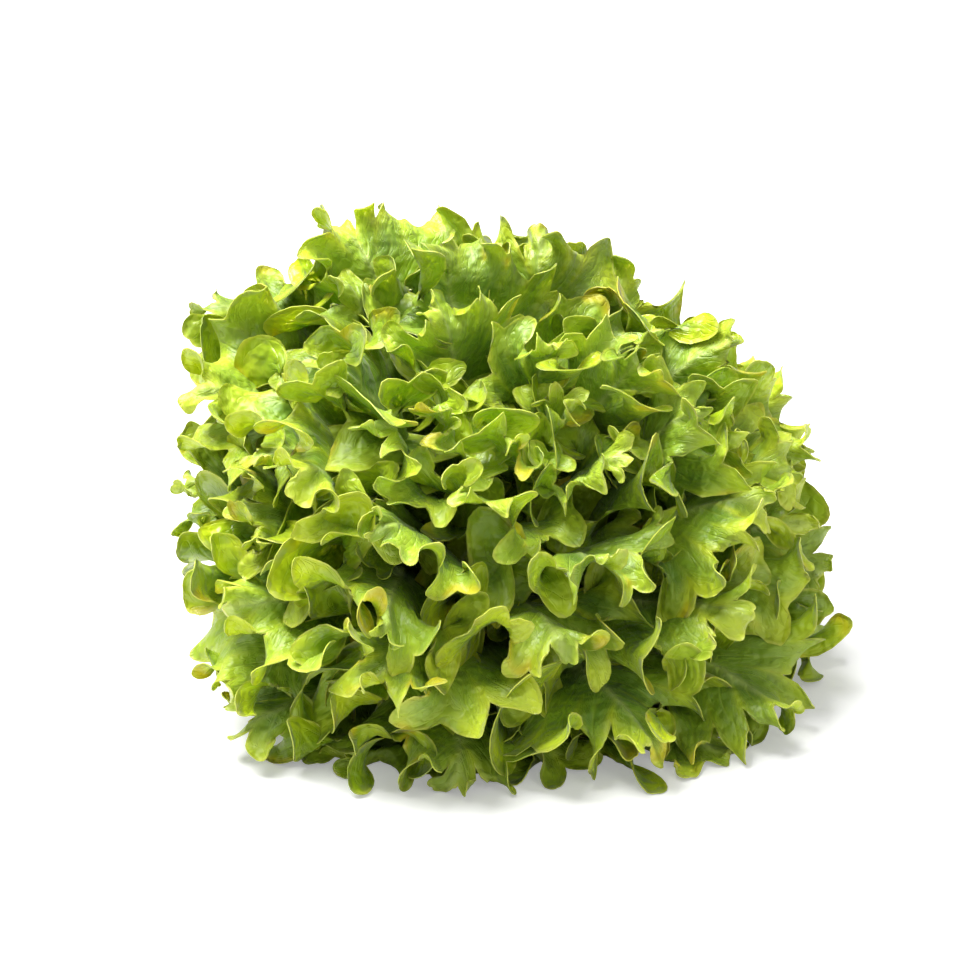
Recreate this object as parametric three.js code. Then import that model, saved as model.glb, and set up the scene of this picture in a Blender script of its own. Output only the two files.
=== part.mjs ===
// A head of green oak leaf lettuce, lying as picked on a flat surface.
//
// The head is a short tapering stem with a rosette of loose leaves round it. Leaf 1 is the lowest and
// outermost, and each next leaf sits a golden angle further round the stem and a little higher up it.
// Every leaf lies on its own shell: a bowl-like surface that runs from the stem to the dome that the
// leaf ends make together. The shells are nested and never cross, so the leaves don't either.
//
// Millimetres, +Z up. The head lies with its heart towards -Y and up, its cut stem towards +Y and down.
// The origin is the middle of the head's box, on the surface that it lies on.
import * as THREE from "three";

// ---- driving dimensions -------------------------------------------------------------------------

const LEAVES = 54;
const GOLDEN_ANGLE = 137.508; // degrees from one leaf to the next, round the stem
const FIRST_AZIMUTH = 262; // degrees, 0 to the right, 90 up the head

const AXIS_TILT = 48; // degrees that the stem's axis points up from the surface
const STEM_END_HEIGHT = 13; // the cut end's centre above the surface
const WIDTH_STRETCH = 1.045; // the head is wider than it is high

// The head isn't quite round: by azimuth, where it spreads further (gain over 0) or less far.
const LOPSIDED = [
  { azimuth: 45, width: 36, gain: -0.14 },
  { azimuth: 90, width: 36, gain: -0.06 },
  { azimuth: 135, width: 36, gain: 0.18 },
  { azimuth: 180, width: 36, gain: -0.07 },
  { azimuth: 270, width: 36, gain: -0.03 },
  { azimuth: 315, width: 36, gain: 0.05 },
];

const STEM = { radius: 14, shoulder: 12, length: 56, tip: 4 };
const STEM_GAP = 0.9; // clear space between a leaf's foot and the stem
const FOOT = { low: 8, high: 52 }; // heights on the stem of the outermost and the innermost leaf's foot

// The dome of leaf ends: an ellipsoid round a point on the axis, hollowed a little at the heart.
const DOME = { centre: 81, radius: 121, height: 98, heartDip: 0.2, heartAngle: 26 };
const OUTERMOST = 102; // degrees from the axis, seen from the dome's centre, of the outermost leaf end
const INNERMOST = 5;
const CROWDING = 0.78; // under 1 packs the leaf ends closer towards the outside

const FOOT_LEAN = { outer: 70, inner: 8 }; // degrees from the axis at a leaf's foot
const END_LEAN = { outer: 112, inner: 6 }; // degrees from the axis at a leaf's end
const HALF_WIDTH = { outer: 64, inner: 20 };
const FOOT_SHARE = 0.24; // a leaf's width at its foot, as a share of its full width
const WIDEST = 0.7; // how far along the leaf it is widest
const END_SHARE = 0.74; // its width where its end starts to round over
const END_ROUNDING = 0.2;
const WIDEST_WRAP = 62; // degrees that a leaf may reach to either side round the head

const THICKNESS = { foot: 1.3, heartFoot: 0.85, end: 0.8 };
const FLOOR_SOFTNESS = 5; // how high above the surface the leaves begin to flatten
const FLOOR_LIFT = 0.9;
const PRESSED_BELOW = 1.8; // the underside of a leaf that is nearer to the surface lies flat on it
const SLUMP = { gain: 0.19, height: 45 }; // the head spreads by this share at the surface, less above it

const ALONG = 8; // mesh steps from a leaf's foot to its end
const ACROSS = 7; // mesh steps across a leaf

// ---- small helpers ------------------------------------------------------------------------------

const radians = (degrees) => (degrees * Math.PI) / 180;
const mix = (a, b, share) => a + (b - a) * share;

// A repeatable scatter from -1 to 1, for the small differences between leaves.
function scatter(index, kind) {
  const value = Math.sin(index * 12.9898 + kind * 78.233) * 43758.5453;
  return 2 * (value - Math.floor(value)) - 1;
}

// ---- the head's own frame -----------------------------------------------------------------------

const tilt = radians(AXIS_TILT);
const axis = new THREE.Vector3(0, -Math.cos(tilt), Math.sin(tilt));
const across = new THREE.Vector3(1, 0, 0);
const upward = new THREE.Vector3(0, Math.sin(tilt), Math.cos(tilt));
const stemEnd = new THREE.Vector3(0, 0, STEM_END_HEIGHT);

// How much further than round the head spreads at an azimuth, as a share.
function lopsidedness(azimuth) {
  let gain = 0;
  for (const side of LOPSIDED) {
    const turn = azimuth - radians(side.azimuth);
    const away = Math.atan2(Math.sin(turn), Math.cos(turn)) / radians(side.width);
    gain += side.gain * Math.exp(-away * away);
  }
  return gain;
}

// A point from its distance from the axis, its azimuth and its height along the axis. The weight of the
// head flattens what would hang below the surface, without folding it, and makes the head spread there.
function headPoint(distance, azimuth, height) {
  const beyondStem = Math.max(distance - STEM.radius - STEM_GAP, 0);
  const outward = across
    .clone()
    .multiplyScalar(Math.cos(azimuth) * WIDTH_STRETCH)
    .addScaledVector(upward, Math.sin(azimuth));
  const point = stemEnd
    .clone()
    .addScaledVector(outward, distance + beyondStem * lopsidedness(azimuth))
    .addScaledVector(axis, height);
  const clearance = (point.z - FLOOR_LIFT) / FLOOR_SOFTNESS;
  point.z = FLOOR_LIFT + FLOOR_SOFTNESS * Math.log1p(Math.exp(clearance));
  const slump = beyondStem * SLUMP.gain * Math.exp(-point.z / SLUMP.height);
  point.x += slump * outward.x;
  point.y += slump * outward.y;
  return point;
}

// ---- the shells that the leaves lie on ----------------------------------------------------------

function stemRadius(height) {
  const share = Math.min(Math.max((height - STEM.shoulder) / (STEM.length - STEM.shoulder), 0), 1);
  return mix(STEM.radius, STEM.tip, Math.pow(share, 1.3));
}

// A point of shell depth (0 outermost, 1 innermost), at an azimuth, a share of the way to the dome.
function shellPoint(depth, azimuth, share) {
  const footHeight = mix(FOOT.low, FOOT.high, depth);
  const footDistance = stemRadius(footHeight) + STEM_GAP;
  const angle = radians(mix(INNERMOST, OUTERMOST, Math.pow(1 - depth, CROWDING)));
  const dip = 1 - DOME.heartDip * Math.exp(-Math.pow(angle / radians(DOME.heartAngle), 2));
  const endDistance = DOME.radius * Math.sin(angle);
  const endHeight = DOME.centre + DOME.height * Math.cos(angle) * dip;
  const reach = Math.hypot(endDistance - footDistance, endHeight - footHeight);
  const footLean = radians(mix(FOOT_LEAN.inner, FOOT_LEAN.outer, 1 - depth));
  const endLean = radians(mix(END_LEAN.inner, END_LEAN.outer, Math.pow(1 - depth, CROWDING)));
  // a cubic from foot to end that leaves and arrives at those leans
  const t = share;
  const a = 1 - 3 * t * t + 2 * t * t * t;
  const b = t - 2 * t * t + t * t * t;
  const c = 3 * t * t - 2 * t * t * t;
  const d = t * t * t - t * t;
  const distance =
    a * footDistance + c * endDistance + reach * (b * Math.sin(footLean) + 0.8 * d * Math.sin(endLean));
  const height =
    a * footHeight + c * endHeight + reach * (b * Math.cos(footLean) + 0.8 * d * Math.cos(endLean));
  return { point: headPoint(distance, azimuth, height), distance };
}

// ---- leaves -------------------------------------------------------------------------------------

function leafFacts(index) {
  const depth = index / (LEAVES - 1);
  return {
    depth,
    azimuth: radians(FIRST_AZIMUTH + GOLDEN_ANGLE * index + 5 * scatter(index, 1)),
    halfWidth: mix(HALF_WIDTH.outer, HALF_WIDTH.inner, Math.pow(depth, 1.4)) * (1 + 0.08 * scatter(index, 2)),
    length: 1 + 0.05 * scatter(index, 3),
  };
}

// A leaf's width at a share of its length, as a share of its widest.
function widthShare(along) {
  if (along < WIDEST) {
    return mix(FOOT_SHARE, 1, Math.sin((along / WIDEST) * (Math.PI / 2)) ** 1.3);
  }
  return mix(1, END_SHARE, ((along - WIDEST) / (1 - WIDEST)) ** 2);
}

// The middle surface of a leaf: side runs from -1 to 1 across it, along from 0 to 1 up it.
function leafPoint(leaf, side, along) {
  const share = along * leaf.length * (1 - END_ROUNDING * Math.abs(side) ** 3 * along);
  const { distance } = shellPoint(leaf.depth, leaf.azimuth, share);
  const limit = radians(WIDEST_WRAP);
  const wrap = (side * leaf.halfWidth * widthShare(along)) / distance;
  const turn = limit * Math.tanh(wrap / limit);
  return shellPoint(leaf.depth, leaf.azimuth + turn, share).point;
}

function leafNormal(leaf, side, along) {
  const step = 0.01;
  const overSide = leafPoint(leaf, side + step, along).sub(leafPoint(leaf, side - step, along));
  const overAlong = leafPoint(leaf, side, along + step).sub(leafPoint(leaf, side, Math.max(along - step, 0)));
  return overSide.cross(overAlong).normalize();
}

// A closed solid: the middle surface moved half a thickness each way, with a rim round it.
function leafGeometry(leaf) {
  const positions = [];
  const index = [];
  const foot = mix(THICKNESS.foot, THICKNESS.heartFoot, leaf.depth);
  const perRow = ACROSS + 1;
  const layer = perRow * (ALONG + 1);
  for (const face of [1, -1]) {
    for (let row = 0; row <= ALONG; row++) {
      const along = row / ALONG;
      for (let column = 0; column <= ACROSS; column++) {
        const side = (2 * column) / ACROSS - 1;
        const half = (face * mix(foot, THICKNESS.end, along)) / 2;
        const offset = leafNormal(leaf, side, along).multiplyScalar(half);
        const point = leafPoint(leaf, side, along).add(offset);
        if (offset.z < 0 && point.z < PRESSED_BELOW) point.z = 0;
        positions.push(point.x, point.y, point.z);
      }
    }
  }
  const quad = (a, b, c, d) => index.push(a, b, c, a, c, d);
  for (let row = 0; row < ALONG; row++) {
    for (let column = 0; column < ACROSS; column++) {
      const a = row * perRow + column;
      quad(a, a + 1, a + 1 + perRow, a + perRow);
      quad(layer + a, layer + a + perRow, layer + a + 1 + perRow, layer + a + 1);
    }
  }
  for (let column = 0; column < ACROSS; column++) {
    const low = column;
    const high = ALONG * perRow + column;
    quad(low + 1, low, layer + low, layer + low + 1);
    quad(high, high + 1, layer + high + 1, layer + high);
  }
  for (let row = 0; row < ALONG; row++) {
    const left = row * perRow;
    const right = left + ACROSS;
    quad(left, left + perRow, layer + left + perRow, layer + left);
    quad(right + perRow, right, layer + right, layer + right + perRow);
  }
  const geometry = new THREE.BufferGeometry();
  geometry.setAttribute("position", new THREE.Float32BufferAttribute(positions, 3));
  geometry.setIndex(index);
  geometry.computeVertexNormals();
  return geometry;
}

function leafMaterial(leaf) {
  const outer = new THREE.Color(0x7fa01a);
  const inner = new THREE.Color(0xb4cc3c);
  return new THREE.MeshStandardMaterial({
    color: outer.lerp(inner, leaf.depth),
    roughness: 0.5,
    metalness: 0,
    side: THREE.DoubleSide,
  });
}

// ---- stem ---------------------------------------------------------------------------------------

function stemMesh() {
  const profile = [new THREE.Vector2(0, 0), new THREE.Vector2(STEM.radius - 1, 0)];
  const steps = 8;
  for (let step = 0; step <= steps; step++) {
    const height = 1 + ((STEM.length - 1) * step) / steps;
    profile.push(new THREE.Vector2(stemRadius(height), height));
  }
  profile.push(new THREE.Vector2(0, STEM.length + STEM.tip / 2));
  const geometry = new THREE.LatheGeometry(profile, 24);
  const material = new THREE.MeshStandardMaterial({ color: 0xdfe6c0, roughness: 0.6, metalness: 0 });
  const mesh = new THREE.Mesh(geometry, material);
  mesh.quaternion.setFromUnitVectors(new THREE.Vector3(0, 1, 0), axis);
  mesh.position.copy(stemEnd);
  mesh.name = "stem";
  return mesh;
}

// ---- the head -----------------------------------------------------------------------------------

const head = new THREE.Group();
head.add(stemMesh());
for (let index = 0; index < LEAVES; index++) {
  const leaf = leafFacts(index);
  const mesh = new THREE.Mesh(leafGeometry(leaf), leafMaterial(leaf));
  mesh.name = `leaf_${String(index + 1).padStart(2, "0")}`;
  head.add(mesh);
}

head.updateMatrixWorld(true);
const box = new THREE.Box3().setFromObject(head, true);
const middle = box.getCenter(new THREE.Vector3());
head.position.set(-middle.x, -middle.y, -box.min.z);

const lettuce = new THREE.Group();
lettuce.add(head);
export default lettuce;
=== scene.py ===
"""A head of green oak leaf lettuce lying on a pale floor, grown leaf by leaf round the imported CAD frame.

Each CAD leaf is a plain nested shell. Here every leaf starts on the same shell with its lobed outline.
Then its margin grows longer than the shell has room for, so the blade buckles into ruffles, and while it
grows the leaves push each other apart, lean outward over the head and rest on the floor. At last each
grown margin is cut into its finer lobes and scallops, and the blade gets its thickness and midrib.

The growing is worked out in millimetres. Meshes, lights and the camera are in metres.
"""

import math
import time

import bpy
import numpy as np
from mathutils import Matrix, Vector


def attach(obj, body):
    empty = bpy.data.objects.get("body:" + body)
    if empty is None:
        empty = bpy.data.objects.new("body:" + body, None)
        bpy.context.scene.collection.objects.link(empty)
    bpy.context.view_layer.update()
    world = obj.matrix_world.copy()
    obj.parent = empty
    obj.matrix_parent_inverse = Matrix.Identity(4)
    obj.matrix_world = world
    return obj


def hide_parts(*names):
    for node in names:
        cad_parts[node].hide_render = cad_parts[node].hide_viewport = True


MM = 0.001
started = time.time()
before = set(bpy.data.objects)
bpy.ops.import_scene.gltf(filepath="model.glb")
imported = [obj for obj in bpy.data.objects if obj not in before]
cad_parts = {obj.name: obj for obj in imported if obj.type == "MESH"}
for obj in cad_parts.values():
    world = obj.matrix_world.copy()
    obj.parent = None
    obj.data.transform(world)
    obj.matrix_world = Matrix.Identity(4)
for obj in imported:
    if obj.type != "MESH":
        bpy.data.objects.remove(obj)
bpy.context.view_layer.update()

# ---- the head's plan: the driving dimensions of the CAD leaves -----------------------------------

LEAVES = 54
OUTER_LEAVES, MIDDLE_LEAVES = 18, 20
GOLDEN_ANGLE = 137.508
FIRST_AZIMUTH = 262
AXIS_TILT = 48
WIDTH_STRETCH = 1.045
LOPSIDED_WIDTH = 36
LOPSIDED = {45: -0.14, 90: -0.06, 135: 0.18, 180: -0.07, 270: -0.03, 315: 0.05}  # share gained, by azimuth
STEM_RADIUS, STEM_SHOULDER, STEM_LENGTH, STEM_TIP = 14, 12, 56, 4
STEM_GAP = 0.9
FOOT_LOW, FOOT_HIGH = 8, 52
DOME_CENTRE, DOME_RADIUS, DOME_HEIGHT = 81, 121, 98
HEART_DIP, HEART_ANGLE = 0.2, 26
OUTERMOST, INNERMOST, CROWDING = 102, 5, 0.78
FOOT_LEAN_OUTER, FOOT_LEAN_INNER = 70, 8
END_LEAN_OUTER, END_LEAN_INNER = 112, 6
HALF_WIDTH_OUTER, HALF_WIDTH_INNER = 68, 28
AZIMUTH_SCATTER, WIDTH_SCATTER, LENGTH_SCATTER = 5, 0.08, 0.05
FOOT_SHARE = 0.24
WIDEST = 0.72
WIDEST_WRAP = 80
FLOOR_SOFTNESS, FLOOR_LIFT = 5, 0.9
SLUMP, SLUMP_HEIGHT = 0.19, 45

# ---- how a leaf is cut and how it grows ----------------------------------------------------------

COLUMNS, ROWS = 241, 14  # of the grid that grows; columns run along the margin, rows out from the midrib
LOBE_WIDTH, LOBE_DEPTH = 13, 0.25
LOBES_PER_BAY, BAY_DEPTH = 2, 0.08
LOBE_SEED, BAY_SEED = 4, 8
# how a blade keeps from folding sharply: columns apart, stiffness, least share of the distance left
FLATNESS = ((2, 0.5, 0.965), (4, 0.35, 0.9), (8, 0.1, 0.65))
FOLD_SOFTNESS = 0.6  # of the flatness, what is left at a sinus
WIDTH_FLATNESS = (2, 0.5, 0.975)  # the same for rows
SHEAR_STIFFNESS = 0.5
MOST_TWIST = 24  # degrees at a leaf's end
LEAF_STRETCH, EXTRA_LENGTH_SCATTER = 1.03, 0.04
# more or less length on single leaves, which makes the head's outline uneven
LONGER = {1: 0.06, 4: 0.1, 6: 0.09, 7: 0.04, 9: 0.06, 11: 0.11, 13: 0.03, 14: 0.04, 15: 0.06, 17: 0.12}
LONGER |= {19: 0.07, 20: 0.08, 21: 0.02, 23: 0.04, 26: 0.16, 28: 0.06, 31: 0.03, 36: 0.05}
SHORTER = {5: 0.32, 8: 0.24, 10: 0.04, 12: 0.05, 16: 0.24, 29: 0.14, 34: 0.07}
MARGIN_GROWTH, GROWTH_REACH = 1.1, 2.3
FRILL = 0.3  # how much more than the margin behind it the rim itself grows, which curls its lobes
LAY_OVER = 0.04  # millimetres a step that the margins lean outward over the next leaf
GROWTH_STEPS, SETTLE_STEPS = 200, 80
NEIGHBOURS_EVERY = 8
STALK_SHARE = 0.27  # of a leaf's length
LEAST_HEIGHT = 0.6
BACK_LIMIT, BACK_FIRMNESS = 116, 0.1  # margins behind the limit are drawn forward

# ---- how it is finished --------------------------------------------------------------------------

ROUNDING = 2  # passes that smooth the grown blades along their margins
# what is taken off the grown margin: depths in millimetres, and how wide the cuts are (0 narrowest)
TRIM_ROWS = 66  # of the fine grid that the cut blade is read from
MOST_CUT = 0.5  # of the way to the midrib
BLUNTING, BLUNT_SHARE = 6, 0.8  # passes that smooth the margin, and how much of what sticks out goes
SINUS_DEPTH, SINUS_WIDTH = 10, 0.4
SCALLOPS_PER_LOBE, SCALLOP_DEPTH, SCALLOP_WIDTH = 3, 1.3, 0.5
BLADE_THICKNESS = 0.45
RIB_FOOT, RIB_END = 3.2, 0.3  # how far the midrib stands out under the blade
RIB_WIDTH_FOOT, RIB_WIDTH_END = 5.5, 0.8
CRIMP_SPACING, CRIMP_HEIGHT = 3.4, 1.3
TOOTH, TOOTH_SPACING = 0.6, 1.6

SCARS, SCAR_DEPTH = 12, 0.5  # of lower leaves on the stem
FIRST_SCAR, SCAR_SPACING = 1.5, 0.55

# columns and rows of each finished leaf
GRIDS = {"leaf_outer": (521, 10), "leaf_middle": (461, 10), "leaf_heart": (361, 10)}

# colours as a screen shows them
LEAF_COLOURS = {
    "leaf_outer": ((128, 162, 6), (80, 122, 3), (180, 200, 22)),
    "leaf_middle": ((140, 172, 8), (88, 132, 4), (192, 208, 26)),
    "leaf_heart": ((130, 166, 12), (80, 124, 5), (178, 200, 30)),
}  # the blade, its deeper patches and its margin
# the pale rim colour: partly the leaf's paler edge, partly a painted highlight where light catches the edge
RIM_AND_EDGE_HIGHLIGHT = (222, 228, 100)
BLUSH = (222, 196, 24)
VEIN = (188, 210, 60)
RIB = (206, 220, 136)
STALK = (178, 202, 84)
# painted shade: the colour the leaf feet deep inside the head are darkened towards
DEEP_PAINTED_SHADE = (42, 82, 2)
UNDERSIDE = (176, 198, 84)
LEAF_SUBSURFACE = 0.5

# ---- light and camera, in metres and degrees -----------------------------------------------------

WORLD_LIGHT = 0.36
SOFTBOXES = (
    ("key", (-0.4, 0.25, 1.35), 0.9, 46),
    ("fill", (0.4, -1.3, 1.1), 0.8, 4),
)  # name, place, width and watts
FLOOR_GLOW, FLOOR_FADE = 0.3, (0.25, 1.2)
CAMERA_AZIMUTH, CAMERA_ELEVATION = -17.5, 21
CAMERA_TARGET, CAMERA_DISTANCE = (-0.0088, 0.0, 0.0835), 0.92
CAMERA_LENS = 85  # millimetres
LIT_POINT = (0, 0, 0.09)

tilt = math.radians(AXIS_TILT)
AXIS = np.array([0, -math.cos(tilt), math.sin(tilt)])
ACROSS = np.array([1.0, 0, 0])
UPWARD = np.array([0, math.sin(tilt), math.cos(tilt)])

# the centre of the stem's cut end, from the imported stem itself
stem_points = np.array([v.co[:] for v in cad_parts["stem"].data.vertices]) / MM
along_axis = stem_points @ AXIS
STEM_END = stem_points[along_axis < along_axis.min() + 0.1].mean(0)

rng = np.random.default_rng(20)


def mix(a, b, share):
    return a + (b - a) * share


def ramp(x, low, high):
    """0 below low, 1 above high, smooth between."""
    t = np.clip((x - low) / (high - low), 0, 1)
    return t * t * (3 - 2 * t)


def scatter(index, kind):
    """A repeatable number from -1 to 1, the same as the CAD's."""
    wave = math.sin(index * 12.9898 + kind * 78.233) * 43758.5453
    return 2 * (wave - math.floor(wave)) - 1


def lopsidedness(azimuth):
    """How much further than round the head spreads at an azimuth, as a share."""
    gain = 0
    for middle, most in LOPSIDED.items():
        turn = azimuth - math.radians(middle)
        away = np.arctan2(np.sin(turn), np.cos(turn)) / math.radians(LOPSIDED_WIDTH)
        gain = gain + most * np.exp(-away * away)
    return gain


def head_point(distance, azimuth, height):
    """The place of a point, x, y and z first. The head's weight flattens and spreads it near the floor."""
    beyond_stem = np.maximum(distance - STEM_RADIUS - STEM_GAP, 0)
    spread = distance + beyond_stem * lopsidedness(azimuth)
    across, upward = np.cos(azimuth) * WIDTH_STRETCH, np.sin(azimuth)
    outward = [across * ACROSS[k] + upward * UPWARD[k] for k in range(3)]
    x, y, z = (STEM_END[k] + outward[k] * spread + height * AXIS[k] for k in range(3))
    z = FLOOR_LIFT + FLOOR_SOFTNESS * np.logaddexp(0, (z - FLOOR_LIFT) / FLOOR_SOFTNESS)
    slump = beyond_stem * SLUMP * np.exp(-z / SLUMP_HEIGHT)
    return np.stack([x + slump * outward[0], y + slump * outward[1], z])


def stem_radius(height):
    share = np.clip((height - STEM_SHOULDER) / (STEM_LENGTH - STEM_SHOULDER), 0, 1)
    return mix(STEM_RADIUS, STEM_TIP, share**1.3)


def shell_profile(depth, share):
    """Distance from the axis and height along it on one shell, from its foot at 0 to its end at 1."""
    foot_height = mix(FOOT_LOW, FOOT_HIGH, depth)
    foot_distance = stem_radius(foot_height) + STEM_GAP
    angle = np.radians(mix(INNERMOST, OUTERMOST, (1 - depth) ** CROWDING))
    dip = 1 - HEART_DIP * np.exp(-((angle / math.radians(HEART_ANGLE)) ** 2))
    end_distance = DOME_RADIUS * np.sin(angle)
    end_height = DOME_CENTRE + DOME_HEIGHT * np.cos(angle) * dip
    reach = np.hypot(end_distance - foot_distance, end_height - foot_height)
    foot_lean = np.radians(mix(FOOT_LEAN_INNER, FOOT_LEAN_OUTER, 1 - depth))
    end_lean = np.radians(mix(END_LEAN_INNER, END_LEAN_OUTER, (1 - depth) ** CROWDING))
    t = np.minimum(share, 1)
    past = np.maximum(share - 1, 0)
    a = 1 - 3 * t**2 + 2 * t**3
    b = t - 2 * t**2 + t**3
    c = 3 * t**2 - 2 * t**3
    d = t**3 - t**2 + past
    b, d = reach * b, 0.8 * reach * d
    distance = a * foot_distance + c * end_distance + b * np.sin(foot_lean) + d * np.sin(end_lean)
    height = a * foot_height + c * end_height + b * np.cos(foot_lean) + d * np.cos(end_lean)
    return distance, height


def shell_point(depth, azimuth, share):
    distance, height = shell_profile(depth, share)
    return head_point(distance, azimuth, height)


class Leaf:
    """The plan of one leaf: where it sits and the flat shape that it would have pressed in a book."""

    def __init__(self, index):
        self.index = index
        self.depth = index / (LEAVES - 1)
        turn = FIRST_AZIMUTH + GOLDEN_ANGLE * index + AZIMUTH_SCATTER * scatter(index, 1)
        self.azimuth = math.radians(turn)
        self.half_width = mix(HALF_WIDTH_OUTER, HALF_WIDTH_INNER, self.depth**1.4)
        self.half_width *= 1 + WIDTH_SCATTER * scatter(index, 2)
        distance, height = shell_profile(self.depth, np.linspace(0, 1, 80))
        self.length = np.hypot(np.diff(distance), np.diff(height)).sum()
        self.stretch = LEAF_STRETCH + LENGTH_SCATTER * scatter(index, 3)
        self.stretch += EXTRA_LENGTH_SCATTER * scatter(index, 6)
        self.stretch += LONGER.get(index + 1, 0) - SHORTER.get(index + 1, 0)
        self.twist = math.radians(MOST_TWIST) * scatter(index, 5)
        self.cut_outline()

    def cut_outline(self):
        """The flat blade: where each column starts on the midrib and ends on the margin, (along, out)."""
        along = np.linspace(0, 1, 600)
        body = mix(FOOT_SHARE, 1, np.sin(np.minimum(along / WIDEST, 1) * math.pi / 2) ** 1.6)
        crown = np.clip(1 - (np.maximum(along - WIDEST, 0) / (1 - WIDEST)) ** 2.5, 0, 1) ** (1 / 2.5)
        out = self.half_width * body * crown
        step = np.hypot(np.diff(along * self.length), np.diff(out))
        way = np.concatenate([[0], np.cumsum(step)])
        self.margin_length = way[-1]
        # columns are closer together round the blade than down the stalk
        progress = np.linspace(-1, 1, COLUMNS)
        progress = mix(progress**3, progress, 0.72)
        m = 1 - np.abs(progress)
        self.m = m
        self.side = np.sign(progress)
        self.margin_along = np.interp(m * way[-1], way, along) * self.length
        self.margin_out = np.interp(m * way[-1], way, out)
        self.rib_along = self.length * 0.94 * (0.45 * m + 0.55 * m**3)
        # lobes: round ends with narrow sinuses between them, deeper every few lobes, none on the stalk
        self.way = progress * way[-1]
        self.scale = (self.half_width / HALF_WIDTH_OUTER) ** 0.9
        drift = 9 * smooth_noise(self.way, 40, rng)
        self.lobe = (self.way / self.scale + drift) / LOBE_WIDTH + 9 * rng.random()
        bladed = ramp(m, 0.16, 0.34)
        uneven = 1 + 0.5 * smooth_noise(self.way, 30, rng)
        self.inside_lobe = np.abs(np.sin(math.pi * self.lobe)) ** 0.4
        sinus = 1 - self.inside_lobe
        bay = 1 - np.sqrt(np.abs(np.sin(math.pi * self.lobe / LOBES_PER_BAY)))
        self.reach = 1 - bladed * uneven * (LOBE_DEPTH * sinus + BAY_DEPTH * bay)
        self.bladed = bladed


def smooth_noise(x, spacing, rng):
    """Noise of unit size along x, changing over about that spacing."""
    knots = np.arange(x.min() - 2 * spacing, x.max() + 3 * spacing, spacing)
    values = rng.normal(size=len(knots)) * 0.8
    t = (x - knots[0]) / spacing
    k = t.astype(int)
    f = t - k
    f = f * f * (3 - 2 * f)
    return values[k] * (1 - f) + values[k + 1] * f


def row_shares(rows):
    """Shares of the way from midrib to margin, closer together at the margin."""
    t = np.linspace(0, 1, rows)
    return 1 - (1 - t) ** 1.3


def flat_blade(leaf, rows):
    """Flat place of each grid point, as (along, out) with out negative on the left."""
    q = row_shares(rows)
    stretch = mix(1, leaf.reach[:, None], q**2)
    along = leaf.rib_along[:, None] + (leaf.margin_along - leaf.rib_along)[:, None] * q * stretch
    out = (leaf.margin_out * leaf.side)[:, None] * q * stretch
    return along, out


def lay_on_shell(leaf, along, out):
    """The flat blade wrapped onto its shell."""
    share = along / leaf.length * leaf.stretch
    distance, _ = shell_profile(leaf.depth, share)
    limit = math.radians(WIDEST_WRAP)
    turn = limit * np.tanh(out / np.maximum(distance, 4) / limit) + leaf.twist * share**2
    return shell_point(leaf.depth, leaf.azimuth + turn, share)


def grid_normals(points):
    """Unit normals of a grid of points, (3, columns, rows)."""
    du = np.gradient(points, axis=1)
    dv = np.gradient(points, axis=2)
    n = np.cross(du, dv, axis=0)
    return n / np.maximum(np.linalg.norm(n, axis=0), 1e-9)


# ---- growing: position based, all the leaves at once, (3, leaf, column, row) ---------------------


class Pull:
    """Keeps pairs of grid points at their rest distance; no point is in two of its pairs.

    The rest distances, young and grown, are stored at the first point of a pair, or else at cells.
    """

    def __init__(self, weight, a, b, young, grown, stiffness, only_push=False, cells=None):
        self.a, self.b = (slice(None),) * 2 + a, (slice(None),) * 2 + b
        cells = cells or self.a[1:]
        self.young = young[cells].astype(np.float32)
        self.gain = grown[cells].astype(np.float32) - self.young
        wa, wb = weight[self.a[1:]], weight[self.b[1:]]
        stiffness = np.broadcast_to(stiffness, young.shape)[cells]
        both = np.maximum(wa + wb, 1e-6)
        self.wa = (wa / both * stiffness).astype(np.float32)
        self.wb = (wb / both * stiffness).astype(np.float32)
        self.only_push = only_push

    def apply(self, x, growth):
        pa, pb = x[self.a], x[self.b]
        d = pb - pa
        length = np.sqrt(d[0] * d[0] + d[1] * d[1] + d[2] * d[2]) + 1e-6
        pull = 1 - (self.young + self.gain * growth) / length
        if self.only_push:
            pull = np.minimum(pull, 0)
        d *= pull
        pa += d * self.wa
        pb -= d * self.wb


def along_columns(count, apart, start):
    """Slices of the column axis that pair each point with the one that many columns on."""
    stop = start + (count - start - apart + 2 * apart - 1) // (2 * apart) * 2 * apart
    return slice(start, count - apart, 2 * apart), slice(start + apart, None, 2 * apart)


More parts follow.
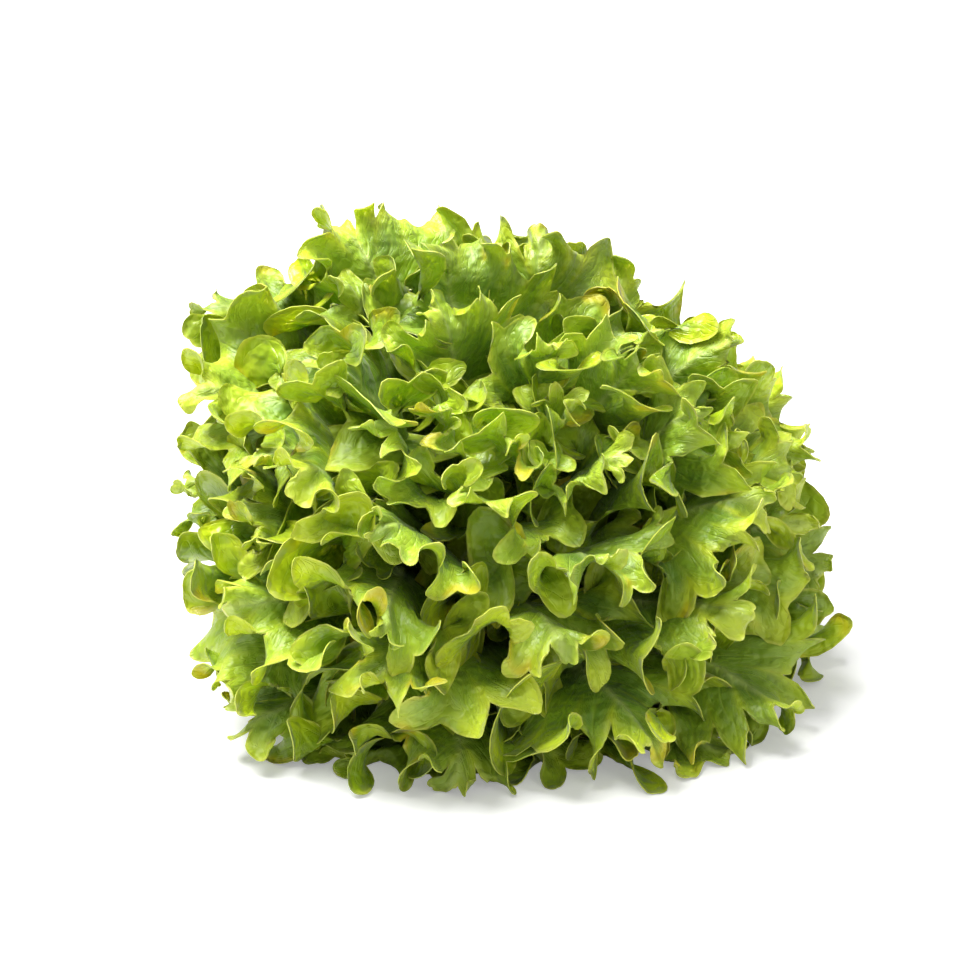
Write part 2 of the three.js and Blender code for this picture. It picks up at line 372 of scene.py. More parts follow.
def pulls(weight, flat, growth, body):
    """Every distance that a growing blade keeps. flat is (2, leaf, column, row), growth the share gained.

    body is 1 inside a lobe, which stays fairly flat, and falls to 0 at a sinus, where the blade folds.
    """
    columns, rows = flat.shape[2:]
    everything = slice(None)
    made = []

    def span(axis, apart):
        step = np.diff(flat, axis=axis)
        young = np.hypot(step[0], step[1])
        if axis == 2:
            grown = young * (1 + (growth[:, 1:] + growth[:, :-1]) / 2)
        else:
            grown = young
        total_young, total_grown = 0, 0
        count = young.shape[axis - 1] - apart + 1
        for k in range(apart):
            part = (everything,) * (axis - 1) + (slice(k, k + count),)
            total_young = total_young + young[part]
            total_grown = total_grown + grown[part]
        return total_young, total_grown

    for apart, stiffness, least in ((1, 1, None), *FLATNESS):
        young, grown = span(2, apart)
        if least is not None:
            middle = body[:, apart // 2 : apart // 2 + young.shape[1], None]
            stiffness = stiffness * mix(FOLD_SOFTNESS, 1, middle)
        for start in range(2 * apart):
            a, b = ((part, everything) for part in along_columns(columns, apart, start))
            if least is None:
                made.append(Pull(weight, a, b, young, grown, stiffness))
            else:
                made.append(Pull(weight, a, b, young * least, grown * least, stiffness, True))
    for apart, stiffness, least in ((1, 1, None), WIDTH_FLATNESS):
        young, grown = span(3, apart)
        for start in range(2 * apart):
            a, b = ((everything, part) for part in along_columns(rows, apart, start))
            share = least or 1
            made.append(Pull(weight, a, b, young * share, grown * share, stiffness, least is not None))
    # shear, across each cell both ways
    eu = (np.diff(flat, axis=2)[..., 1:] + np.diff(flat, axis=2)[..., :-1]) / 2
    ev = (np.diff(flat, axis=3)[:, :, 1:] + np.diff(flat, axis=3)[:, :, :-1]) / 2
    g = 1 + (growth[:, 1:, 1:] + growth[:, :-1, :-1]) / 2
    uu, vv, uv = (eu**2).sum(0), (ev**2).sum(0), (eu * ev).sum(0)
    for sign in (1, -1):
        young = np.sqrt(np.maximum(uu + vv + 2 * sign * uv, 0.01))
        grown = np.sqrt(np.maximum(g * g * uu + vv + 2 * sign * g * uv, 0.01))
        for start in range(2):
            a, b = along_columns(columns, 1, start)
            low, high = slice(None, -1), slice(1, None)
            if sign > 0:
                pair = (a, low), (b, high)
            else:
                pair = (a, high), (b, low)
            cells = (everything, a, everything)
            made.append(Pull(weight, *pair, young, grown, SHEAR_STIFFNESS, cells=cells))
    return made


def neighbour_pairs(points, radius, slack, leaf_of, column_of, row_of):
    """Pairs of points, (3, n), nearer than their radii and some slack, that aren't close on one leaf."""
    reach = 2 * radius.max() + slack
    cell = ((points - points.min(1)[:, None]) / reach).astype(np.int32) + 1
    span = cell.max(1) + 2
    key = (cell[0] * span[1] + cell[1]) * span[2] + cell[2]
    order = np.argsort(key, kind="stable").astype(np.int32)
    key = key[order]
    place = points[:, order]
    size = radius[order] + np.float32(slack / 2)
    places = np.arange(len(key), dtype=np.int32)
    first, second = [], []
    # the cells after each one, as whole runs of three along the last axis
    for dx, dy in ((0, 0), (0, 1), (1, -1), (1, 0), (1, 1)):
        offset = (dx * span[1] + dy) * span[2]
        high = np.searchsorted(key, key + offset + 1, "right").astype(np.int32)
        low = places + 1 if offset == 0 else np.searchsorted(key, key + offset - 1, "left").astype(np.int32)
        count = np.maximum(high - low, 0)
        before = np.cumsum(count) - count
        a = np.repeat(places, count)
        b = np.arange(len(a), dtype=np.int32) + np.repeat(low - before, count).astype(np.int32)
        apart = place[0, a] - place[0, b]
        distance = apart * apart
        for axis in (1, 2):
            apart = place[axis, a] - place[axis, b]
            distance += apart * apart
        near = distance < (size[a] + size[b]) ** 2
        first.append(order[a[near]])
        second.append(order[b[near]])
    a, b = np.concatenate(first), np.concatenate(second)
    close = (
        (leaf_of[a] == leaf_of[b])
        & (np.abs(column_of[a] - column_of[b]) <= 3)
        & (np.abs(row_of[a] - row_of[b]) <= 3)
    )
    return a[~close], b[~close]


def push_apart(points, weight, radius, pairs):
    """Moves points that are nearer than their radii apart, each by its share of the weight."""
    a, b = pairs
    d = points[:, b] - points[:, a]
    length = np.sqrt(d[0] * d[0] + d[1] * d[1] + d[2] * d[2]) + np.float32(1e-6)
    least = radius[a] + radius[b]
    hit = np.flatnonzero(length < least)
    a, b, d, length, least = a[hit], b[hit], d[:, hit], length[hit], least[hit]
    share = (least - length) / length / np.maximum(weight[a] + weight[b], 1e-6) * 0.5
    count = len(radius)
    for k in range(3):
        move = d[k] * share
        points[k] += np.bincount(b, move * weight[b], count) - np.bincount(a, move * weight[a], count)


def grow(leaves):
    """Grows every blade from its shell and returns its points, (3, leaf, column, row)."""
    q = row_shares(ROWS)
    flat = np.stack([np.stack(flat_blade(leaf, ROWS)) for leaf in leaves], axis=1)
    start, growth, weight, radius, drift = [], [], [], [], []
    centre = STEM_END + DOME_CENTRE * AXIS
    for k, leaf in enumerate(leaves):
        along, out = flat[:, k]
        points = lay_on_shell(leaf, along, out)
        lobes = np.sin(math.pi * leaf.lobe) * (1 + 0.4 * smooth_noise(leaf.way, 50, rng))
        bays = np.sin(math.pi * leaf.lobe / LOBES_PER_BAY) * (1 + 0.4 * smooth_noise(leaf.way, 60, rng))
        seed = LOBE_SEED * lobes[:, None] * q**2 + BAY_SEED * bays[:, None] * q
        points = points + grid_normals(points) * (leaf.scale * leaf.bladed[:, None] * seed)
        start.append(points)
        gained = MARGIN_GROWTH * leaf.bladed * (1 + 0.25 * smooth_noise(leaf.way, 60, rng))
        growth.append(gained[:, None] * q**GROWTH_REACH * (1 + FRILL * ramp(q, 0.75, 1)))
        free = ramp(along / leaf.length, 0.16, 0.34)
        free[:, 0] = ramp(along[:, 0] / leaf.length, 0.4, 0.85)
        weight.append(free)
        cell = np.linalg.norm(np.gradient(points, axis=1), axis=0)
        radius.append(np.clip(cell * (1 + growth[-1]) * 0.5, 0.4, 1.7))
        # the way from the heart to the outside, over the head's dome
        up = np.moveaxis(points, 0, -1) - centre
        up /= np.linalg.norm(up, axis=-1, keepdims=True)
        over = (up @ AXIS)[..., None] * up - AXIS
        pull = LAY_OVER * (1 + 0.8 * smooth_noise(leaf.way, 22, rng))[:, None] * q**3 * free
        drift.append(np.moveaxis(over * pull[..., None], -1, 0))
    x = np.stack(start, axis=1).astype(np.float32)
    drift = np.stack(drift, axis=1).astype(np.float32)
    growth, weight, radius = np.stack(growth), np.stack(weight), np.stack(radius)
    kept = pulls(weight, flat, growth, np.stack([leaf.inside_lobe for leaf in leaves]))
    weight = weight.reshape(-1).astype(np.float32)
    radius = radius.reshape(-1).astype(np.float32)
    # the stalks fit together as they start, so only the blades push each other
    lengths = np.array([leaf.length for leaf in leaves])[:, None, None]
    blades = np.flatnonzero(flat[0] / lengths > STALK_SHARE)
    weight, radius = weight[blades], radius[blades]
    leaf_of, column_of, row_of = (n.reshape(-1)[blades].astype(np.int32) for n in np.indices(x.shape[1:]))

    # leaves that start close together may stay so
    points = x.reshape(3, -1)[:, blades]
    a, b = neighbour_pairs(points, radius, 0, leaf_of, column_of, row_of)
    gap = np.linalg.norm(points[:, a] - points[:, b], axis=0)
    order = np.argsort(-gap)
    nearest = np.full(len(radius), 9.0)
    nearest[a[order]] = gap[order]
    other = np.full(len(radius), 9.0)
    other[b[order]] = gap[order]
    radius = np.minimum(radius, np.maximum(np.minimum(nearest, other) * 0.5, 0.25)).astype(np.float32)

    for step in range(GROWTH_STEPS + SETTLE_STEPS):
        t = min(1, step / GROWTH_STEPS)
        x += drift
        for pull in kept:
            pull.apply(x, t)
        x[..., 0] = (x[..., 0] + x[:, :, ::-1, 0]) / 2  # both halves of a leaf share its midrib
        points = x.reshape(3, -1)[:, blades]
        if step % NEIGHBOURS_EVERY == 0:
            pairs = neighbour_pairs(points, radius, 1.2, leaf_of, column_of, row_of)
        push_apart(points, weight, radius, pairs)
        np.maximum(points[2], LEAST_HEIGHT, out=points[2])
        points[1] -= BACK_FIRMNESS * np.maximum(points[1] - BACK_LIMIT, 0)
        x.reshape(3, -1)[:, blades] = points
    return x


# ---- meshes -------------------------------------------------------------------------------------


def spline(points, at, axis, rounding):
    """A grid of points read at fractional places along one axis.

    With rounding 0 the cubic goes through the points, and with 1 it smooths their corners (a B-spline).
    """
    first = 2 * np.take(points, [0], axis) - np.take(points, [1], axis)
    last = 2 * np.take(points, [-1], axis) - np.take(points, [-2], axis)
    padded = np.concatenate([first, points, last], axis)
    k = np.clip(np.floor(at).astype(int), 0, points.shape[axis] - 2)
    t = (at - k).reshape([-1 if a == axis else 1 for a in range(points.ndim)])
    through = (-t + 2 * t**2 - t**3, 2 - 5 * t**2 + 3 * t**3, t + 4 * t**2 - 3 * t**3, t**3 - t**2)
    smooth = ((1 - t) ** 3, 4 - 6 * t**2 + 3 * t**3, 1 + 3 * t + 3 * t**2 - 3 * t**3, t**3)
    return sum(
        mix(through[n] / 2, smooth[n] / 6, rounding) * np.take(padded, k + n, axis)
        for n in range(4)
    )


def finer(points, columns_at, rows_at):
    """A finer grid through the grown one. It reads across the midrib, so it stays smooth there."""
    wide = np.concatenate([points[:, ::-1, 1:2], points], axis=2)
    return spline(spline(wide, rows_at + 1, 2, 0.8), columns_at, 1, 1)


def mesh_from(name, corners, quads, attributes):
    """A smooth quad mesh. corners are (n, 3) in millimetres, attributes one value a corner."""
    mesh = bpy.data.meshes.new(name)
    mesh.vertices.add(len(corners))
    mesh.vertices.foreach_set("co", (corners * MM).astype(np.float32).ravel())
    mesh.loops.add(quads.size)
    mesh.loops.foreach_set("vertex_index", quads.astype(np.int32).ravel())
    mesh.polygons.add(len(quads))
    mesh.polygons.foreach_set("loop_start", np.arange(0, quads.size, 4, dtype=np.int32))
    mesh.polygons.foreach_set("use_smooth", np.ones(len(quads), dtype=bool))
    mesh.update(calc_edges=True)
    for key, values in attributes.items():
        layer = mesh.attributes.new(key, "FLOAT", "POINT")
        layer.data.foreach_set("value", np.asarray(values, dtype=np.float32))
    return mesh


def blade_mesh(name, top, bottom, attributes):
    """A closed thin solid from a blade's two faces, grids of (3, columns, rows) whose row 0 is the midrib."""
    _, columns, rows = top.shape
    ids = np.arange(columns * rows).reshape(columns, rows)
    ids[:, 0] = np.minimum(ids[:, 0], ids[::-1, 0])  # the two halves share the midrib
    used = np.unique(ids)
    number = np.full(columns * rows, -1)
    number[used] = np.arange(len(used))
    grid = number[ids]
    count = len(used)
    corners = np.concatenate([top.reshape(3, -1)[:, used], bottom.reshape(3, -1)[:, used]], axis=1).T
    upper = np.stack([grid[:-1, :-1], grid[1:, :-1], grid[1:, 1:], grid[:-1, 1:]], -1).reshape(-1, 4)
    lower = upper[:, ::-1] + count
    # the wall between the faces goes along the margin and back across the foot
    loop = np.concatenate([grid[:, -1], grid[-1, -2::-1], grid[0, 1:-1]])
    after = np.roll(loop, -1)
    wall = np.stack([after, loop, loop + count, after + count], -1)
    values = {}
    for key, value in attributes.items():
        flat = np.broadcast_to(value, (columns, rows)).reshape(-1)[used]
        values[key] = np.concatenate([flat, flat])
    values["under"] = np.repeat([0, 1], count)
    return mesh_from(name, corners, np.concatenate([upper, lower, wall]), values)


def add_piece(mesh, node, material):
    piece = bpy.data.objects.new(mesh.name, mesh)
    bpy.context.scene.collection.objects.link(piece)
    mesh.materials.append(material)
    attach(piece, "root")
    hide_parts(node)
    return piece


def trimmed(leaf, whole, lobe, bladed):
    """Millimetres taken off a grown margin: its sharp ends, the sinuses between lobes, and scallops."""
    margin = whole[:, :, -1]
    inward = whole[:, :, -8] - margin
    inward /= np.maximum(np.linalg.norm(inward, axis=0), 1e-6)
    smooth = margin.copy()
    for _ in range(BLUNTING):
        smooth[:, 1:-1] = (smooth[:, :-2] + 2 * smooth[:, 1:-1] + smooth[:, 2:]) / 4
    sharp = BLUNT_SHARE * np.maximum(((smooth - margin) * inward).sum(0), 0)
    sinus = SINUS_DEPTH * (1 - np.abs(np.sin(math.pi * lobe)) ** SINUS_WIDTH)
    wave = math.pi * SCALLOPS_PER_LOBE * lobe + 1.5 * smooth_noise(lobe, 1, rng)
    scallop = SCALLOP_DEPTH * (1 - np.abs(np.sin(wave)) ** SCALLOP_WIDTH)
    uneven = 1 + 0.5 * smooth_noise(lobe, 1.5, rng)
    return bladed * (sharp + math.sqrt(leaf.scale) * uneven * (sinus + scallop))


def leaf_piece(leaf, grown, slot, columns, rows):
    """One finished leaf: the grown blade made finer, with crimps, fine teeth, thickness and its midrib."""
    columns_at = np.linspace(0, COLUMNS - 1, columns)
    shares = 1 - (1 - np.concatenate([[0, 0.035, 0.085], np.linspace(0.16, 1, rows - 3)])) ** 1.3
    grown = grown.astype(np.float64)
    for _ in range(ROUNDING):
        grown[:, 1:-1] = (grown[:, :-2] + 2 * grown[:, 1:-1] + grown[:, 2:]) / 4
    whole = finer(grown, columns_at, np.linspace(0, ROWS - 1, TRIM_ROWS))

    def read(values):
        return np.interp(columns_at, np.arange(COLUMNS), values)

    bladed = read(leaf.bladed)
    from_rib = np.zeros(whole.shape[1:])
    from_rib[:, 1:] = np.cumsum(np.linalg.norm(np.diff(whole, axis=2), axis=0), axis=1)
    reach = from_rib[:, -1]
    cut = np.minimum(trimmed(leaf, whole, read(leaf.lobe), bladed), MOST_CUT * reach)
    wanted = (reach - cut)[:, None] * shares
    at = np.stack([np.interp(w, f, np.arange(TRIM_ROWS)) for w, f in zip(wanted, from_rib)])
    k = np.minimum(at.astype(int), TRIM_ROWS - 2)
    column = np.arange(columns)[:, None]
    points = mix(whole[:, column, k], whole[:, column, k + 1], at - k)
    q = np.interp(at, np.arange(TRIM_ROWS), row_shares(TRIM_ROWS))
    way = read(leaf.way)
    rib_along = read(leaf.rib_along)[:, None]
    over_along = read(leaf.margin_along)[:, None] - rib_along
    over_out = read(leaf.margin_out * leaf.side)[:, None]
    along = rib_along + over_along * q
    out = over_out * q
    from_margin = wanted[:, -1:] - wanted

    crimp = smooth_noise(way, CRIMP_SPACING, rng) * bladed * leaf.scale
    points = points + grid_normals(points) * (CRIMP_HEIGHT * crimp[:, None] * shares**6)
    outward = points[:, :, -1] - points[:, :, -2]
    outward /= np.maximum(np.linalg.norm(outward, axis=0), 1e-6)
    points[:, :, -1] += outward * (TOOTH * smooth_noise(way, TOOTH_SPACING, rng) * bladed)
    points[2] = np.maximum(points[2], LEAST_HEIGHT)

    share = np.clip(along / leaf.length, 0, 1)
    rib = np.exp(-((out / (mix(RIB_WIDTH_FOOT, RIB_WIDTH_END, share**0.7) * leaf.scale)) ** 2))
    rib_height = rib * mix(RIB_FOOT, RIB_END, share**0.6) * leaf.scale
    normal = grid_normals(points)
    half = BLADE_THICKNESS / 2
    top = points + normal * (half + 0.15 * rib_height)
    bottom = points - normal * (half + rib_height)
    top[:, :, 0] = (top[:, :, 0] + top[:, ::-1, 0]) / 2
    bottom[:, :, 0] = (bottom[:, :, 0] + bottom[:, ::-1, 0]) / 2
    bottom[2] = np.maximum(bottom[2], 0.05)
    attributes = {
        "rim": from_margin,
        "lobe": read(leaf.lobe)[:, None],
        "rib": rib,
        "share": share,
        "tone": rng.random(),
    }
    name = f"leaf_{leaf.index + 1:02d}"
    mesh = blade_mesh(name + "_blade", top, bottom, attributes)
    return add_piece(mesh, name, leaf_materials[slot])


def stem_piece():
    """The stem: a stout tapering core with the scars of lower leaves round it and a slightly hollow cut."""
    around, cut_rings = 144, 12
    turn = np.linspace(0, 2 * math.pi, around, endpoint=False)
    cut = np.linspace(0, 1, cut_rings)
    rings = [(STEM_RADIUS - 1.2) * cut] + [np.array([STEM_RADIUS - 0.4])]
    heights = [-0.9 * (1 - cut**3)] + [np.array([0.35])]
    side = np.linspace(1.1, STEM_LENGTH, 46)
    rings.append(stem_radius(side))
    heights.append(side)
    tip = np.array([0.6, 0.25, 0.02])
    rings.append(STEM_TIP * tip)
    heights.append(STEM_LENGTH + 2 * (1 - tip**2))
    ring, height = np.concatenate(rings), np.concatenate(heights)
    ring[0] = 0.3
    # each leaf scar is a shallow dip with a raised lip under it
    scars = np.zeros((around, len(ring)))
    for k in range(SCARS):
        middle, level = math.radians(GOLDEN_ANGLE * k), FIRST_SCAR + SCAR_SPACING * k
        away = np.arctan2(np.sin(turn - middle), np.cos(turn - middle))[:, None]
        up = height - level - 1.2 * np.cos(2 * away)
        lip = np.exp(-((up / 0.7) ** 2)) - 0.8 * np.exp(-(((up - 1.8) / 1.2) ** 2))
        scars += np.exp(-((away / 0.7) ** 4)) * lip * SCAR_DEPTH
    wobble = 0.3 * np.sin(3 * turn + 1) + 0.25 * np.sin(5 * turn + 2.5) + 0.15 * np.sin(11 * turn)
    on_side = ramp(height, 0, 1.5) * (1 - ramp(height, STEM_LENGTH - 6, STEM_LENGTH))
    reach = ring + 0.3 * on_side + (scars + wobble[:, None]) * on_side
    outward = np.cos(turn)[:, None, None] * ACROSS + np.sin(turn)[:, None, None] * UPWARD
    corners = STEM_END + outward * reach[:, :, None] + AXIS * height[None, :, None]
    ids = np.arange(around * len(ring)).reshape(around, len(ring))
    after = np.roll(ids, -1, axis=0)
    sides = np.stack([ids[:, :-1], after[:, :-1], after[:, 1:], ids[:, 1:]], -1).reshape(-1, 4)
    attributes = {
        "turn": np.repeat(turn, len(ring)),
        "height": np.tile(height, around),
        "ring": np.tile(ring, around),
    }
    # a strip of quads closes the small ring at each end
    k = np.arange(around // 2 - 1)
    close = np.stack([k, k + 1, around - 2 - k, around - 1 - k], -1)
    quads = np.concatenate([sides, ids[:, 0][close[:, ::-1]], ids[:, -1][close]])
    mesh = mesh_from("stem_core", corners.reshape(-1, 3), quads, attributes)
    return add_piece(mesh, "stem", stem_material)


# ---- materials ----------------------------------------------------------------------------------


def srgb(red, green, blue):
    """A colour as a screen shows it, 0 to 255, in the linear values that shaders take."""
    linear = [((c / 255 + 0.055) / 1.055) ** 2.4 if c > 10 else c / 255 / 12.92 for c in (red, green, blue)]
    return (*linear, 1)


class Shading:
    """A material under construction, with short ways to add the nodes it needs."""

    def __init__(self, name):
        self.material = bpy.data.materials.new(name)
        self.material.use_nodes = True
        self.tree = self.material.node_tree
        self.shader = self.tree.nodes["Principled BSDF"]

    def node(self, kind, inputs, **settings):
        made = self.tree.nodes.new("ShaderNode" + kind)
        for key, value in settings.items():
            setattr(made, key, value)
        for key, value in inputs.items():
            self.feed(made.inputs[key], value)
        return made

    def feed(self, socket, value):
        if isinstance(value, bpy.types.NodeSocket):
            self.tree.links.new(value, socket)
        else:
            socket.default_value = value

    def attribute(self, name):
        return self.node("Attribute", {}, attribute_name=name).outputs["Fac"]

    def math(self, operation, a, b=0.0, c=0.0):
        return self.node("Math", {0: a, 1: b, 2: c}, operation=operation).outputs[0]

    def mixed(self, factor, a, b):
        """Colour a turning into colour b as factor goes from 0 to 1."""
        return self.node("Mix", {0: factor, 6: a, 7: b}, data_type="RGBA").outputs[2]

    def faded(self, value, low, high, at_low=0.0, at_high=1.0):
        """at_low while value is under low, at_high over high, and smooth between."""
        inputs = {"Value": value, "From Min": low, "From Max": high, "To Min": at_low, "To Max": at_high}
        return self.node("MapRange", inputs, interpolation_type="SMOOTHSTEP").outputs["Result"]

    def vector(self, operation, a, b=(0, 0, 0), scale=1.0):
        return self.node("VectorMath", {0: a, 1: b, "Scale": scale}, operation=operation).outputs[0]

    def place(self, x, y, z):
        return self.node("CombineXYZ", {0: x, 1: y, 2: z}).outputs[0]

    def noise(self, vector, scale, detail=1.0, dimensions="3D", lacunarity=2.0):
        inputs = {"Vector": vector, "Scale": scale, "Detail": detail, "Lacunarity": lacunarity}
        return self.node("TexNoise", inputs, noise_dimensions=dimensions).outputs["Fac"]

    def bump(self, height, distance, strength=1.0, on=None):
        inputs = {"Height": height, "Distance": distance, "Strength": strength}
        if on:
            inputs["Normal"] = on
        return self.node("Bump", inputs).outputs["Normal"]

    def finish(self, **values):
        for key, value in values.items():
            self.feed(self.shader.inputs[key.replace("_", " ").title().replace("Ior", "IOR")], value)
        return self.material


def leaf_material(name, blade, shade, margin):
    """A satin leaf: green, darker towards its foot with painted shade, limy at its margin, with pale veins
    and a pale rim that is partly a painted edge highlight.
    """
    s = Shading(name)
    lobe, rim, rib = s.attribute("lobe"), s.attribute("rim"), s.attribute("rib")
    share, tone, under = s.attribute("share"), s.attribute("tone"), s.attribute("under")
    # millimetres in the head as it lies, so that patterns keep their size where the blade has grown
    here = s.vector("SCALE", s.node("TexCoord", {}).outputs["Object"], scale=1 / MM)

    # veins: one runs from the midrib out to each lobe, and a net fills the blade between them
    around = s.math("MULTIPLY", lobe, 24.0)
    wander = s.math("SUBTRACT", s.noise(s.place(around, rim, 0.0), 0.09, 0.0, "2D"), 0.5)
    from_vein = s.math("PINGPONG", s.math("MULTIPLY_ADD", wander, 0.3, s.math("ADD", lobe, 0.5)), 0.5)
    lobe_vein = s.math("MULTIPLY", s.faded(from_vein, 0.0, 0.09, 1.0, 0.0), s.faded(rim, 1.0, 12.0))
    bend = s.math("MULTIPLY", wander, 14.0)
    bent = s.place(s.math("ADD", bend, around), s.math("ADD", bend, rim), 0.0)
    inputs = {"Vector": bent, "Scale": 0.19}
    cells = s.node("TexVoronoi", inputs, feature="DISTANCE_TO_EDGE", voronoi_dimensions="2D")
    net = s.faded(cells.outputs[0], 0.0, 0.14, 1.0, 0.0)
    veins = s.math("MAXIMUM", lobe_vein, s.math("MULTIPLY", net, 0.5))

    # colour, from the body of the blade out to its rim
    patches = s.noise(here, 0.035)
    colour = s.mixed(s.faded(patches, 0.35, 0.68), srgb(*blade), srgb(*shade))
    # painted shade: each blade turns darker towards its foot, where it lies deep in the head
    colour = s.mixed(s.faded(share, 0.35, 0.8, 0.75, 0.0), colour, srgb(*DEEP_PAINTED_SHADE))
    uneven = s.faded(s.noise(here, 0.05, 0.0), 0.3, 0.6, 0.35, 1.0)
    limy = s.math("MULTIPLY", s.faded(rim, 0.0, 24.0, 1.0, 0.0), uneven)
    colour = s.mixed(limy, colour, srgb(*margin))
    colour = s.mixed(s.math("MULTIPLY", veins, 0.2), colour, srgb(*VEIN))
    pale = s.math("MULTIPLY", s.faded(share, 0.12, 0.5, 0.8, 0.0), s.faded(under, 0.0, 1.0, 0.3, 1.0))
    colour = s.mixed(pale, colour, srgb(*STALK))
    colour = s.mixed(s.math("MULTIPLY", rib, s.faded(share, 0.55, 1.0, 0.75, 0.25)), colour, srgb(*RIB))
    colour = s.mixed(s.math("MULTIPLY", under, 0.14), colour, srgb(*UNDERSIDE))
    yellowed = s.faded(s.noise(here, 0.055, 0.0), 0.63, 0.75)
    blush = s.math("MULTIPLY", yellowed, s.faded(rim, 0.5, 9.0, 0.65, 0.0))
    colour = s.mixed(blush, colour, srgb(*BLUSH))
    lumps = s.noise(here, 0.14, lacunarity=2.5)
    uneven = s.faded(lumps, 0.35, 0.6, 0.25, 1.0)
    # pale rim line along the margin: partly the leaf's paler edge, partly a painted highlight on the lit edge
    rim_and_highlight = s.math("MULTIPLY", s.faded(rim, 0.3, 2.2, 0.6, 0.0), uneven)
    colour = s.mixed(rim_and_highlight, colour, srgb(*RIM_AND_EDGE_HIGHLIGHT))
    toned = s.node("HueSaturation", {"Color": colour, "Value": s.math("MULTIPLY_ADD", tone, 0.26, 0.87)})

    # surface: blistered between the veins, finely wrinkled, satin with duller patches
    coarse = s.bump(s.math("SUBTRACT", 1.0, veins), 0.0006, 0.6)
    fine = s.bump(lumps, 0.0045, 0.75, on=coarse)
    gloss = s.math("MULTIPLY_ADD", lumps, 0.25, 0.24)
    return s.finish(
        base_color=toned.outputs["Color"],
        roughness=s.math("ADD", gloss, s.math("MULTIPLY", under, 0.12)),
        normal=fine,
        subsurface_weight=LEAF_SUBSURFACE,
        subsurface_radius=(1.0, 1.0, 0.3),
        subsurface_scale=0.0012,
        coat_weight=0.2,
        coat_roughness=0.25,
        sheen_weight=0.12,
        sheen_roughness=0.4,
    )


leaf_materials = {slot: leaf_material(slot, *colours) for slot, colours in LEAF_COLOURS.items()}


def stem_finish():
    """Pale moist stem flesh with fibres up its side; the cut is browned round its rim and in rings."""
    s = Shading("stem")
    turn, height, ring = s.attribute("turn"), s.attribute("height"), s.attribute("ring")
    x = s.math("MULTIPLY", s.math("COSINE", turn), ring)
    y = s.math("MULTIPLY", s.math("SINE", turn), ring)
    here = s.place(x, y, s.math("MULTIPLY", height, 0.25))
    on_cut = s.faded(height, 0.2, 0.7, 1.0, 0.0)
    blotches = s.noise(here, 0.35, 4)
    colour = s.mixed(s.faded(blotches, 0.35, 0.7), srgb(222, 226, 186), srgb(186, 200, 128))
    specks = s.faded(s.noise(here, 0.9, 3), 0.55, 0.75, 0.0, 0.5)
    colour = s.mixed(specks, colour, srgb(160, 128, 78))
    rings = s.faded(s.math("PINGPONG", s.math("MULTIPLY_ADD", blotches, 2.0, ring), 1.6), 0.2, 1.3)
    cut = s.mixed(s.math("MULTIPLY", rings, 0.5), srgb(226, 220, 176), srgb(190, 160, 104))
    cut = s.mixed(s.faded(ring, STEM_RADIUS - 5, STEM_RADIUS - 1, 0.0, 0.85), cut, srgb(146, 96, 52))
    colour = s.mixed(on_cut, colour, cut)
    fibres = s.noise(here, 1.6, 4)
    return s.finish(
        base_color=colour,
        roughness=s.math("MULTIPLY_ADD", blotches, 0.25, 0.35),
        normal=s.bump(fibres, 0.0008, 0.6),
        subsurface_weight=0.6,
        subsurface_radius=(1.0, 1.0, 0.5),
        subsurface_scale=0.003,
    )


stem_material = stem_finish()

leaves = [Leaf(index) for index in range(LEAVES)]
grown = grow(leaves)
print(f"grown at {time.time() - started:.1f} s")
for leaf in leaves:
    if leaf.index < OUTER_LEAVES:
        slot = "leaf_outer"
    elif leaf.index < OUTER_LEAVES + MIDDLE_LEAVES:
        slot = "leaf_middle"
    else:
        slot = "leaf_heart"
    leaf_piece(leaf, grown[:, leaf.index], slot, *GRIDS[slot])
stem_piece()
print(f"meshed at {time.time() - started:.1f} s")

# ---- stage --------------------------------------------------------------------------------------

scene = bpy.context.scene
scene.view_settings.view_transform = "Standard"

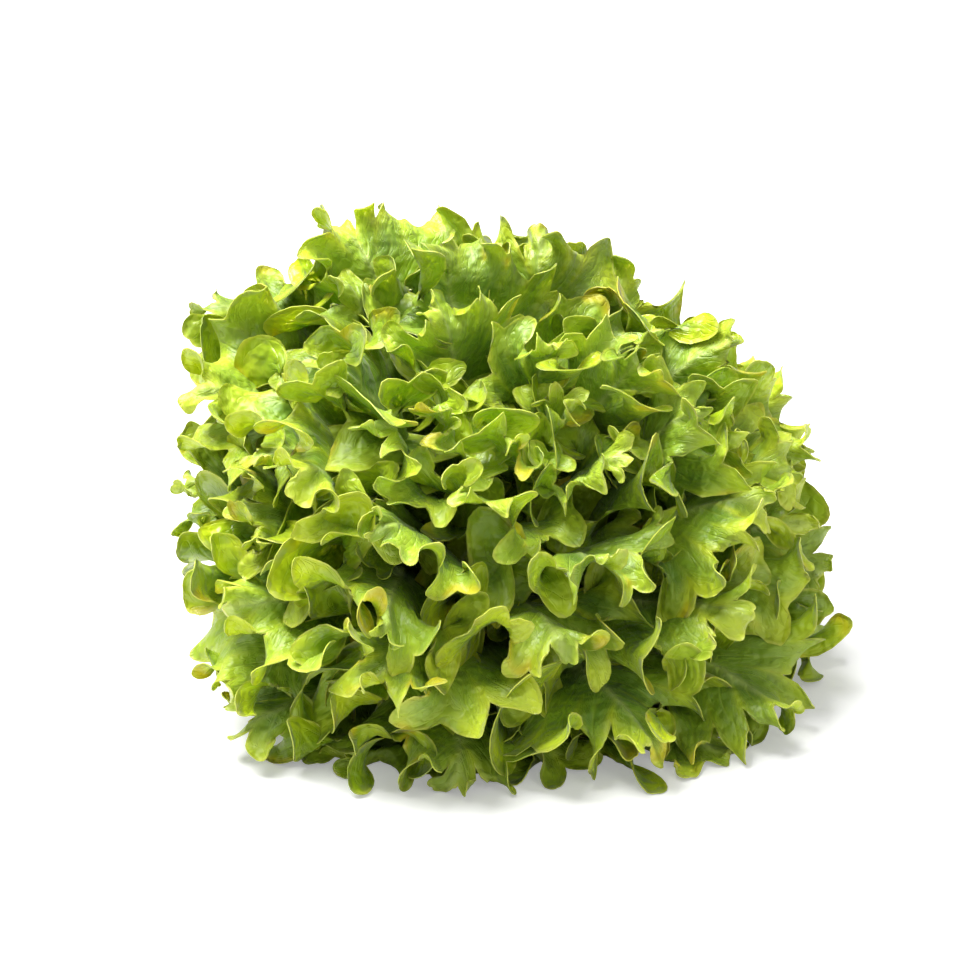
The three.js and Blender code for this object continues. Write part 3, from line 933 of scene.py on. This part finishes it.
# the world lights the head evenly, and the camera sees it white
world = bpy.data.worlds.new("studio")
scene.world = world
world.use_nodes = True
nodes, links = world.node_tree.nodes, world.node_tree.links
nodes.clear()
lit = nodes.new("ShaderNodeBackground")
lit.inputs["Color"].default_value = (1, 1, 1, 1)
lit.inputs["Strength"].default_value = WORLD_LIGHT
seen = nodes.new("ShaderNodeBackground")
seen.inputs["Color"].default_value = (1, 1, 1, 1)
path = nodes.new("ShaderNodeLightPath")
either = nodes.new("ShaderNodeMixShader")
ends = nodes.new("ShaderNodeOutputWorld")
links.new(path.outputs["Is Camera Ray"], either.inputs["Fac"])
links.new(lit.outputs[0], either.inputs[1])
links.new(seen.outputs[0], either.inputs[2])
links.new(either.outputs[0], ends.inputs["Surface"])

for name, place, size, watts in SOFTBOXES:
    light = bpy.data.lights.new(name, "AREA")
    light.size = size
    light.energy = watts
    lamp = bpy.data.objects.new(name, light)
    scene.collection.objects.link(lamp)
    lamp.location = place
    lamp.rotation_euler = (Vector(LIT_POINT) - lamp.location).to_track_quat("-Z", "Y").to_euler()

# the floor shows the head's shadow, and runs out to white away from it
bpy.ops.mesh.primitive_plane_add(size=8)
floor = bpy.context.object
floor.name = "floor"
s = Shading("floor_white")
path = s.node("LightPath", {}).outputs["Is Camera Ray"]
spot = s.node("NewGeometry", {}).outputs["Position"]
away = s.node("VectorMath", {0: spot}, operation="LENGTH").outputs["Value"]
glow = s.faded(away, *FLOOR_FADE, FLOOR_GLOW, 1.0)
floor.data.materials.append(
    s.finish(
        base_color=(0.8, 0.8, 0.8, 1),
        roughness=0.6,
        specular_ior_level=0.2,
        emission_color=(1, 1, 1, 1),
        emission_strength=s.math("MULTIPLY", path, glow),
    )
)

camera_data = bpy.data.cameras.new("camera")
camera_data.lens = CAMERA_LENS
camera = bpy.data.objects.new("camera", camera_data)
scene.collection.objects.link(camera)
scene.camera = camera
azimuth, elevation = math.radians(CAMERA_AZIMUTH), math.radians(CAMERA_ELEVATION)
level = Vector((math.sin(azimuth), -math.cos(azimuth), 0)) * math.cos(elevation)
towards = level + Vector((0, 0, math.sin(elevation)))
camera.location = Vector(CAMERA_TARGET) + towards * CAMERA_DISTANCE
camera.rotation_euler = towards.to_track_quat("Z", "Y").to_euler()

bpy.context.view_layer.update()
print(f"ready at {time.time() - started:.1f} s")
